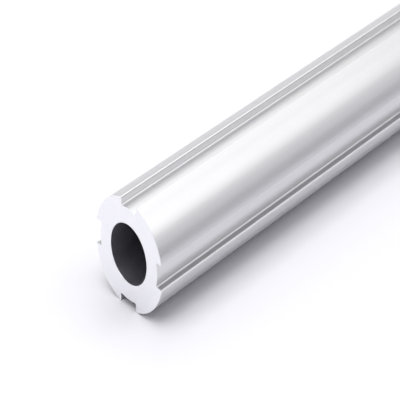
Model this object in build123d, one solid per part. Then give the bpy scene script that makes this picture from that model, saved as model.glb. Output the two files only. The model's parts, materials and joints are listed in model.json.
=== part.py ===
from build123d import *
from math import sqrt
import os

# Round slotted aluminium profile: one extruded bar, sawn to length.
# It lies along X on the two lips of its lowest slot, with the floor at Z = 0.

# Driving dimensions in millimetres
stock_length = 500.0
outside_diameter = 28.0
wall_thickness = 6.5
slot_count = 4
slot_width = 6.2
slot_depth = 2.2
lip_radius = 0.3
root_radius = 0.4
edge_break = 0.1

# Sizes that follow from them
outside_radius = outside_diameter / 2
floor_radius = outside_radius - slot_depth
bore_diameter = outside_diameter - 2 * wall_thickness
bore_radius = bore_diameter / 2

# The bar stands on two lip roundings, which touch the outside circle and a slot wall
lip_centre_radius = outside_radius - lip_radius
lip_centre_offset = slot_width / 2 + lip_radius
axis_height = sqrt(lip_centre_radius**2 - lip_centre_offset**2) + lip_radius


def lowest_slot():
    """The slot that opens downwards: parallel walls, and a floor concentric with the bar."""
    strip = Rectangle(slot_width, outside_diameter, align=(Align.CENTER, Align.MAX))
    return strip - Circle(floor_radius)


def slotted_disc():
    """The full round with its slots evenly spaced, their lips and floor corners rounded."""
    slots = PolarLocations(0, slot_count) * lowest_slot()
    disc = Circle(outside_radius) - slots
    mid_wall_radius = (outside_radius + floor_radius) / 2
    lips = disc.vertices().filter_by(lambda corner: Vector(corner).length > mid_wall_radius)
    disc = fillet(lips, lip_radius)
    roots = disc.vertices().filter_by(lambda corner: Vector(corner).length < mid_wall_radius)
    return fillet(roots, root_radius)


def extrusion_profile():
    """The bored section drawn out along X, with the sharp edges of both sawn ends broken."""
    section = slotted_disc() - Circle(bore_radius)
    near_end = Plane.YZ.offset(-stock_length / 2)
    bar = extrude(near_end * Pos(0, axis_height) * section, amount=stock_length)
    sawn_ends = bar.faces().filter_by(Plane.YZ)
    return chamfer(sawn_ends.edges(), edge_break)


os.makedirs("parts", exist_ok=True)
export_step(extrusion_profile(), "parts/extrusion_profile.step")
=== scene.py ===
import json
from math import acos, asin, cos, pi, radians, sin, sqrt, tan

import bmesh
import bpy
from mathutils import Matrix, Vector


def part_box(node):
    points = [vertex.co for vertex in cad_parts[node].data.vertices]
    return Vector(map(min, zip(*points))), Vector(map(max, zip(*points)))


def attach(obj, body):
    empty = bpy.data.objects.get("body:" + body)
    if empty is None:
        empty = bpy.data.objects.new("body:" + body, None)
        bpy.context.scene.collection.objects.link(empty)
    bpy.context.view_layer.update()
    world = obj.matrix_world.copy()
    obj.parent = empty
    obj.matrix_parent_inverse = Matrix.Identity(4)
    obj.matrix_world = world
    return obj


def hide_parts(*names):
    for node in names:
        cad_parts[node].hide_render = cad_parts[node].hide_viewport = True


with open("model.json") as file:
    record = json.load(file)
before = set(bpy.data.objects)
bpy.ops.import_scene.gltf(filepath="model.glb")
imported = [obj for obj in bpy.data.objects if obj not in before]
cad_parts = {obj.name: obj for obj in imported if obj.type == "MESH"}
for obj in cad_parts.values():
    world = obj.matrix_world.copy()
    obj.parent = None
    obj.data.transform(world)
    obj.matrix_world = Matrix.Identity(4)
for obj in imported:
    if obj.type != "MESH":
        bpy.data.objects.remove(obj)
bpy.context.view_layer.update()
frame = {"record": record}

# Sizes in metres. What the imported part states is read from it.
mm_per_metre = 1000
mounts = {mount["name"]: mount for mount in frame["record"]["mounts"]}
bar_low, bar_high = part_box("extrusion_profile")
bar_length = bar_high.x - bar_low.x
axis_height = mounts["through_bore"]["pos_m"][2]
bore_radius = mounts["through_bore"]["dims"]["r_mm"] / mm_per_metre
outside_radius = mounts["outside_round"]["dims"]["r_mm"] / mm_per_metre
floor_radius = mounts["top_slot"]["pos_m"][2] - axis_height
edge_break = (bar_length - mounts["through_bore"]["dims"]["length_mm"] / mm_per_metre) / 2
slot_count = sum(mount["kind"] == "slide" for mount in mounts.values())
slot_width = 0.0062
lip_radius = 0.0003
root_radius = 0.0004
merge_distance = root_radius / 100

# Centres of a slot's rounded corners, sideways and up from the bar's axis, and their angles round it
root_side = slot_width / 2 - root_radius
root_rise = sqrt((floor_radius + root_radius) ** 2 - root_side**2)
root_angle = asin(root_side / (floor_radius + root_radius))
lip_side = slot_width / 2 + lip_radius
lip_rise = sqrt((outside_radius - lip_radius) ** 2 - lip_side**2)
lip_angle = asin(lip_side / (outside_radius - lip_radius))

# How finely each round stretch is drawn
floor_steps = 8
root_steps = 8
lip_steps = 10
lobe_steps = 24
bore_steps = 144
edge_steps = 3
crease_angle = radians(40)

# The section is drawn in this plane, where the near end's broken edges begin
near_plane = -bar_length / 2 + edge_break
section_middle = (near_plane, 0, 0)
along_bar = (1, 0, 0)

# Limits on where a face looks, as shares of a straight look: an end looks along the bar by more than
# the first, a side by less than the second, and a ledge looks up by more than the third
along_share = 0.9
across_share = 0.1
upward_share = 0.99

# Limits on how far a face looks away from the axis: just below the lobes, above the slot walls, and
# between those walls and the bore
lobe_share = 0.998
wall_share = -0.2
bore_share = -0.5


def select_faces(test):
    """In edit mode, selects the faces that pass the test and nothing else."""
    bpy.ops.mesh.select_all(action="DESELECT")
    bpy.ops.mesh.select_mode(type="FACE")
    mesh = bmesh.from_edit_mesh(bpy.context.object.data)
    for face in mesh.faces:
        face.select_set(test(face))
    bmesh.update_edit_mesh(bpy.context.object.data)


def draw_arc(centre, turn, steps):
    """Draws on from the selected point, round a centre in the section.

    From the top, a positive turn goes to +Y.
    """
    bpy.ops.mesh.spin(steps=steps, angle=turn, center=(near_plane, *centre), axis=along_bar)


def draw_half_slot():
    """One slot's outline from the middle of its floor to halfway to the next slot."""
    bpy.ops.mesh.primitive_plane_add(size=root_radius, location=(near_plane, 0, floor_radius))
    bpy.ops.object.transform_apply(location=True, rotation=True, scale=True)
    bpy.ops.object.mode_set(mode="EDIT")
    bpy.ops.mesh.select_mode(type="VERT")
    bpy.ops.mesh.merge(type="CENTER")
    draw_arc((0, 0), root_angle, floor_steps)
    draw_arc((root_side, root_rise), -(pi / 2 + root_angle), root_steps)
    bpy.ops.mesh.extrude_region_move(TRANSFORM_OT_translate={"value": (0, 0, lip_rise - root_rise)})
    draw_arc((lip_side, lip_rise), pi / 2 + lip_angle, lip_steps)
    draw_arc((0, 0), pi / slot_count - lip_angle, lobe_steps)


def close_section():
    """Mirrors the half slot, turns it round the axis and fills the face between it and the bore."""
    bpy.ops.mesh.select_all(action="SELECT")
    bpy.ops.mesh.symmetrize(direction="POSITIVE_Y")
    bpy.ops.mesh.select_all(action="SELECT")
    bpy.ops.mesh.spin(
        steps=slot_count, dupli=True, angle=2 * pi, center=section_middle, axis=along_bar
    )
    bpy.ops.mesh.select_all(action="SELECT")
    bpy.ops.mesh.remove_doubles(threshold=merge_distance)
    bpy.ops.mesh.primitive_circle_add(
        vertices=bore_steps, radius=bore_radius, location=section_middle, rotation=(0, pi / 2, 0)
    )
    bpy.ops.mesh.select_all(action="SELECT")
    bpy.ops.mesh.fill(use_beauty=True)


def round_end_edges(way):
    """Breaks the sharp edges of one sawn end, outside and bore, in small steps of a quarter round."""
    select_faces(lambda face: face.normal.x * way > along_share)
    for step in range(edge_steps):
        start = step / edge_steps * pi / 2
        stop = (step + 1) / edge_steps * pi / 2
        inwards = edge_break * (cos(start) - cos(stop))
        outwards = edge_break * (sin(stop) - sin(start))
        bpy.ops.mesh.inset(
            thickness=inwards, depth=outwards, use_even_offset=True, use_boundary=True
        )


def distance_out(face):
    """How far a face's middle lies from the bar's axis, while that still runs through the origin."""
    return face.calc_center_median().yz.length


def outward_share(face):
    """How far a face looks straight away from the bar's axis, while that still runs through the origin.

    It is 1 on the lobes and slot floors, a little below 0 on the slot walls and -1 in the bore.
    """
    return face.normal.yz.dot(face.calc_center_median().yz.normalized())


def is_sawn(face):
    """A piece of an end, with its broken edges."""
    return abs(face.calc_center_median().x) > bar_length / 2 - edge_break


def is_bore(face):
    """A piece of the bore's wall."""
    return abs(face.normal.x) < across_share and distance_out(face) < bore_radius


def is_lip(face):
    """A piece of the small round where a slot's wall meets the outside, which is given a painted
    highlight.
    """
    is_outer = distance_out(face) > (floor_radius + outside_radius) / 2
    is_between = wall_share < outward_share(face) < lobe_share
    return is_outer and abs(face.normal.x) < across_share and is_between


def is_ledge(face):
    """A slot's wall that lies level and looks up, which is given painted shade."""
    return face.normal.z > upward_share and bore_share < outward_share(face) < wall_share


def give_material(bar, material, test):
    """In edit mode, gives the faces that pass the test a finish that the bar holds."""
    select_faces(test)
    bar.active_material_index = bar.data.materials.find(material.name)
    bpy.ops.object.material_slot_assign()


def make_bar(skin, sawn, bore, lips, ledges):
    """The whole bar: its section drawn out along X, the ends' edges broken, set down on its lips."""
    bpy.ops.object.select_all(action="DESELECT")
    draw_half_slot()
    bar = bpy.context.object
    bar.name = "slotted_bar"
    close_section()
    bpy.ops.mesh.select_all(action="SELECT")
    bpy.ops.mesh.extrude_region_move(
        TRANSFORM_OT_translate={"value": (bar_length - 2 * edge_break, 0, 0)}
    )
    bpy.ops.mesh.select_all(action="SELECT")
    bpy.ops.mesh.normals_make_consistent(inside=False)
    for way in (-1, 1):
        round_end_edges(way)
    for material in (skin, sawn, bore, lips, ledges):
        bar.data.materials.append(material)
    give_material(bar, sawn, is_sawn)
    give_material(bar, bore, is_bore)
    # The lips' lighter colour is a painted highlight.
    give_material(bar, lips, is_lip)
    # The ledges' darker colour is painted shade.
    give_material(bar, ledges, is_ledge)
    bpy.ops.mesh.select_all(action="SELECT")
    bpy.ops.transform.translate(value=(0, 0, axis_height))
    bpy.ops.object.mode_set(mode="OBJECT")
    bpy.ops.object.shade_smooth_by_angle(angle=crease_angle)
    flatten_ends = bar.modifiers.new("flat ends", "WEIGHTED_NORMAL")
    flatten_ends.keep_sharp = True
    bpy.ops.object.modifier_apply(modifier=flatten_ends.name)
    return bar


# Marks in the finishes, in metres
die_line_width = 0.0006
die_line_length = 0.3
die_line_depth = 0.000002
drawn_cloud_size = 0.02
blade_radius = 0.15
tooth_mark_width = 0.0003
tooth_mark_depth = 0.000003
sawn_cloud_size = 0.004


def new_material(name):
    material = bpy.data.materials.new(name)
    material.use_nodes = True
    return material, material.node_tree, material.node_tree.nodes["Principled BSDF"]


def mix_colours(tree, share, dark, light):
    """A colour between two by a share that changes over the surface."""
    mix = tree.nodes.new("ShaderNodeMix")
    mix.data_type = "RGBA"
    colours = [socket for socket in mix.inputs if socket.type == "RGBA"]
    colours[0].default_value = (*dark, 1)
    colours[1].default_value = (*light, 1)
    tree.links.new(share, mix.inputs["Factor"])
    return next(socket for socket in mix.outputs if socket.type == "RGBA")


def spread(tree, share, low, high):
    """Stretches a share from nought to one over a range of values."""
    stretch = tree.nodes.new("ShaderNodeMapRange")
    stretch.inputs["To Min"].default_value = low
    stretch.inputs["To Max"].default_value = high
    tree.links.new(share, stretch.inputs["Value"])
    return stretch.outputs["Result"]


def relief(tree, height, depth, shader):
    """Turns a share into fine surface relief of a given depth in metres."""
    bump = tree.nodes.new("ShaderNodeBump")
    bump.inputs["Strength"].default_value = 1
    bump.inputs["Distance"].default_value = depth
    tree.links.new(height, bump.inputs["Height"])
    tree.links.new(bump.outputs["Normal"], shader.inputs["Normal"])


def die_lines_group():
    """Fine lines that the die draws along the bar, and cloudy patches in the finish over them."""
    group = bpy.data.node_groups.new("die lines", "ShaderNodeTree")
    for name in ("Line Width", "Line Length", "Cloud Size"):
        group.interface.new_socket(name, in_out="INPUT", socket_type="NodeSocketFloat")
    for name in ("Lines", "Clouds"):
        group.interface.new_socket(name, in_out="OUTPUT", socket_type="NodeSocketFloat")
    nodes, links = group.nodes, group.links
    given = nodes.new("NodeGroupInput")
    result = nodes.new("NodeGroupOutput")
    place = nodes.new("ShaderNodeTexCoord")
    cell = nodes.new("ShaderNodeCombineXYZ")
    links.new(given.outputs["Line Length"], cell.inputs["X"])
    links.new(given.outputs["Line Width"], cell.inputs["Y"])
    links.new(given.outputs["Line Width"], cell.inputs["Z"])
    drawn = nodes.new("ShaderNodeVectorMath")
    drawn.operation = "DIVIDE"
    links.new(place.outputs["Object"], drawn.inputs[0])
    links.new(cell.outputs["Vector"], drawn.inputs[1])
    lines = nodes.new("ShaderNodeTexNoise")
    lines.inputs["Scale"].default_value = 1
    lines.inputs["Detail"].default_value = 3
    lines.inputs["Roughness"].default_value = 0.6
    links.new(drawn.outputs["Vector"], lines.inputs["Vector"])
    links.new(lines.outputs["Fac"], result.inputs["Lines"])
    patch = nodes.new("ShaderNodeVectorMath")
    patch.operation = "DIVIDE"
    links.new(place.outputs["Object"], patch.inputs[0])
    links.new(given.outputs["Cloud Size"], patch.inputs[1])
    clouds = nodes.new("ShaderNodeTexNoise")
    clouds.inputs["Scale"].default_value = 1
    clouds.inputs["Detail"].default_value = 4
    links.new(patch.outputs["Vector"], clouds.inputs["Vector"])
    links.new(clouds.outputs["Fac"], result.inputs["Clouds"])
    return group


def add_die_lines(tree, group, cloud_size):
    """Places the die lines in a finish, with clouds of its own size."""
    lines = tree.nodes.new("ShaderNodeGroup")
    lines.node_tree = group
    lines.inputs["Line Width"].default_value = die_line_width
    lines.inputs["Line Length"].default_value = die_line_length
    lines.inputs["Cloud Size"].default_value = cloud_size
    return lines.outputs["Lines"], lines.outputs["Clouds"]


def drawn_metal(name, die_lines, dark, light, roughness):
    """Metal as the die leaves it: satin, with fine lines along the bar."""
    material, tree, shader = new_material(name)
    lines, clouds = add_die_lines(tree, die_lines, drawn_cloud_size)
    tree.links.new(mix_colours(tree, lines, dark, light), shader.inputs["Base Color"])
    tree.links.new(spread(tree, clouds, *roughness), shader.inputs["Roughness"])
    shader.inputs["Metallic"].default_value = 1
    relief(tree, lines, die_line_depth, shader)
    return material


def sawn_metal(name, die_lines, dark, light, roughness):
    """Bare bright metal that a large blade has cut, with its faint arcs across the face."""
    material, tree, shader = new_material(name)
    place = tree.nodes.new("ShaderNodeTexCoord")
    flatten = tree.nodes.new("ShaderNodeMapping")
    flatten.inputs["Location"].default_value = (0, -blade_radius / 2, -blade_radius)
    flatten.inputs["Scale"].default_value = (0, 1, 1)
    tree.links.new(place.outputs["Object"], flatten.inputs["Vector"])
    reach = tree.nodes.new("ShaderNodeVectorMath")
    reach.operation = "LENGTH"
    tree.links.new(flatten.outputs["Vector"], reach.inputs[0])
    count = tree.nodes.new("ShaderNodeMath")
    count.operation = "DIVIDE"
    count.inputs[1].default_value = tooth_mark_width
    tree.links.new(reach.outputs["Value"], count.inputs[0])
    arcs = tree.nodes.new("ShaderNodeTexNoise")
    arcs.noise_dimensions = "1D"
    arcs.inputs["Scale"].default_value = 1
    arcs.inputs["Detail"].default_value = 2
    tree.links.new(count.outputs["Value"], arcs.inputs["W"])
    _, clouds = add_die_lines(tree, die_lines, sawn_cloud_size)
    colour = mix_colours(tree, arcs.outputs["Fac"], dark, light)
    tree.links.new(colour, shader.inputs["Base Color"])
    tree.links.new(spread(tree, clouds, *roughness), shader.inputs["Roughness"])
    shader.inputs["Metallic"].default_value = 1
    relief(tree, arcs.outputs["Fac"], tooth_mark_depth, shader)
    return material


floor_size = 60
floor_colour = (0.825, 0.821, 0.858)


def make_floor():
    bpy.ops.object.select_all(action="DESELECT")
    bpy.ops.mesh.primitive_plane_add(size=floor_size)
    floor = bpy.context.object
    floor.name = "studio_floor"
    material, _, shader = new_material("pale floor")
    shader.inputs["Base Color"].default_value = (*floor_colour, 1)
    shader.inputs["Roughness"].default_value = 1
    shader.inputs["Specular IOR Level"].default_value = 0
    floor.data.materials.append(material)


# The tent over the bar, from low in front, overhead, to low behind: share of the way round, and colour
tent_stops = (
    (0, (0.04, 0.04, 0.05)),
    (0.125, (1.03, 1.03, 1.07)),
    (0.25, (0.56, 0.56, 0.57)),
    (0.5, (0.04, 0.04, 0.04)),
    (0.75, (0.42, 0.42, 0.42)),
    (1, (1.22, 1.22, 1.22)),
)

# The tent dims towards the camera's side. The shares are of a straight look that way.
camera_side = (-sqrt(0.5), -sqrt(0.5), 0)
dims_from_share = 0.25
dimmest_from_share = 0.9
dimmest_strength = 0.1

softbox_height = 0.7


def hang_softbox(name, low, high, radiance):
    """A flat panel over the floor, given by two corners and how bright its face is, where 1 is white."""
    middle = ((low[0] + high[0]) / 2, (low[1] + high[1]) / 2, softbox_height)
    bpy.ops.object.light_add(type="AREA", location=middle)
    panel = bpy.context.object
    panel.name = name
    panel.data.shape = "RECTANGLE"
    panel.data.size = high[0] - low[0]
    panel.data.size_y = high[1] - low[1]
    panel.data.energy = pi * panel.data.size * panel.data.size_y * radiance


def light_the_studio():
    """A tent, palest low behind and dim on the camera's side, and two softboxes hung over the bar."""
    world = bpy.data.worlds.new("studio")
    bpy.context.scene.world = world
    world.use_nodes = True
    nodes, links = world.node_tree.nodes, world.node_tree.links
    direction = nodes.new("ShaderNodeTexCoord")
    parts = nodes.new("ShaderNodeSeparateXYZ")
    links.new(direction.outputs["Generated"], parts.inputs["Vector"])
    angle = nodes.new("ShaderNodeMath")
    angle.operation = "ARCTAN2"
    links.new(parts.outputs["Y"], angle.inputs[0])
    links.new(parts.outputs["Z"], angle.inputs[1])
    way_round = nodes.new("ShaderNodeMapRange")
    way_round.inputs["From Min"].default_value = -pi / 2
    way_round.inputs["From Max"].default_value = pi / 2
    links.new(angle.outputs["Value"], way_round.inputs["Value"])
    tent = nodes.new("ShaderNodeValToRGB")
    stops = tent.color_ramp.elements
    for share, _ in tent_stops[1:-1]:
        stops.new(share)
    for stop, (share, colour) in zip(stops, tent_stops):
        stop.position = share
        stop.color = (*colour, 1)
    links.new(way_round.outputs["Result"], tent.inputs["Fac"])
    links.new(tent.outputs["Color"], nodes["Background"].inputs["Color"])
    nearness = nodes.new("ShaderNodeVectorMath")
    nearness.operation = "DOT_PRODUCT"
    nearness.inputs[1].default_value = camera_side
    links.new(direction.outputs["Generated"], nearness.inputs[0])
    dimming = nodes.new("ShaderNodeMapRange")
    dimming.inputs["From Min"].default_value = dims_from_share
    dimming.inputs["From Max"].default_value = dimmest_from_share
    dimming.inputs["To Min"].default_value = 1
    dimming.inputs["To Max"].default_value = dimmest_strength
    links.new(nearness.outputs["Value"], dimming.inputs["Value"])
    links.new(dimming.outputs["Result"], nodes["Background"].inputs["Strength"])
    hang_softbox("softbox_over_end", (-1.05, -0.25), (-0.15, 0.25), radiance=3.5)
    hang_softbox("softbox_over_bar", (-0.15, -0.75), (0.65, 0.75), radiance=1.38)


# The photograph is a 4 by 3 picture pressed to a square, so its widths are about three quarters of true.
# These values are the ones that best fit its circles and slot lines, with the near end's place in metres.
squeeze_share = 0.7726
lens = 242.21
camera_heading = radians(45.469)
camera_elevation = radians(32.722)
camera_roll = radians(-0.189)
near_end_right = -0.02039
near_end_up = -0.01193
near_end_distance = 0.7767


def make_camera():
    """The photograph's view of the near end.

    The camera's upright leans back on its stand, which presses widths.
    """
    turn = Matrix.Rotation(camera_heading - pi / 2, 4, "Z")
    tilt = Matrix.Rotation(pi / 2 - camera_elevation, 4, "X")
    roll = Matrix.Rotation(camera_roll, 4, "Z")
    facing = turn @ tilt @ roll
    near_end = Vector((-bar_length / 2, 0, axis_height))
    seen_at = Vector((near_end_right, near_end_up, -near_end_distance))
    stand = bpy.data.objects.new("camera_stand", None)
    stand.matrix_world = Matrix.Translation(near_end - facing @ seen_at) @ facing
    camera = bpy.data.objects.new("camera", bpy.data.cameras.new("camera"))
    camera.data.lens = lens
    camera.parent = stand
    lean = Matrix.Identity(4)
    lean[2][1] = tan(acos(squeeze_share))
    camera.matrix_parent_inverse = lean
    for thing in (stand, camera):
        bpy.context.scene.collection.objects.link(thing)
    bpy.context.scene.camera = camera


bpy.context.scene.view_settings.view_transform = "Standard"
die_lines = die_lines_group()
skin = drawn_metal(
    "satin anodised skin",
    die_lines,
    dark=(0.65, 0.647, 0.658),
    light=(0.705, 0.702, 0.713),
    roughness=(0.33, 0.39),
)
# The bore's metal is darker and a little bluer than the skin's.
bore = drawn_metal(
    "darker bore metal",
    die_lines,
    dark=(0.515, 0.508, 0.558),
    light=(0.585, 0.578, 0.628),
    roughness=(0.39, 0.45),
)
# The lips get a lighter colour than the skin: a painted highlight along the slot edges.
lips = drawn_metal(
    "painted highlight on lips",
    die_lines,
    dark=(0.71, 0.707, 0.718),
    light=(0.765, 0.762, 0.773),
    roughness=(0.3, 0.36),
)
# The level, upward-looking slot walls get a darker colour than the skin: painted shade in the slots.
ledges = drawn_metal(
    "painted shade on ledges",
    die_lines,
    dark=(0.45, 0.447, 0.458),
    light=(0.49, 0.487, 0.498),
    roughness=(0.33, 0.39),
)
sawn = sawn_metal(
    "sawn aluminium",
    die_lines,
    dark=(0.9, 0.897, 0.922),
    light=(0.925, 0.922, 0.947),
    roughness=(0.4, 0.5),
)
bar = make_bar(skin, sawn, bore, lips, ledges)
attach(bar, "root")
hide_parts("extrusion_profile")
make_floor()
light_the_studio()
make_camera()

bpy.context.view_layer.update()
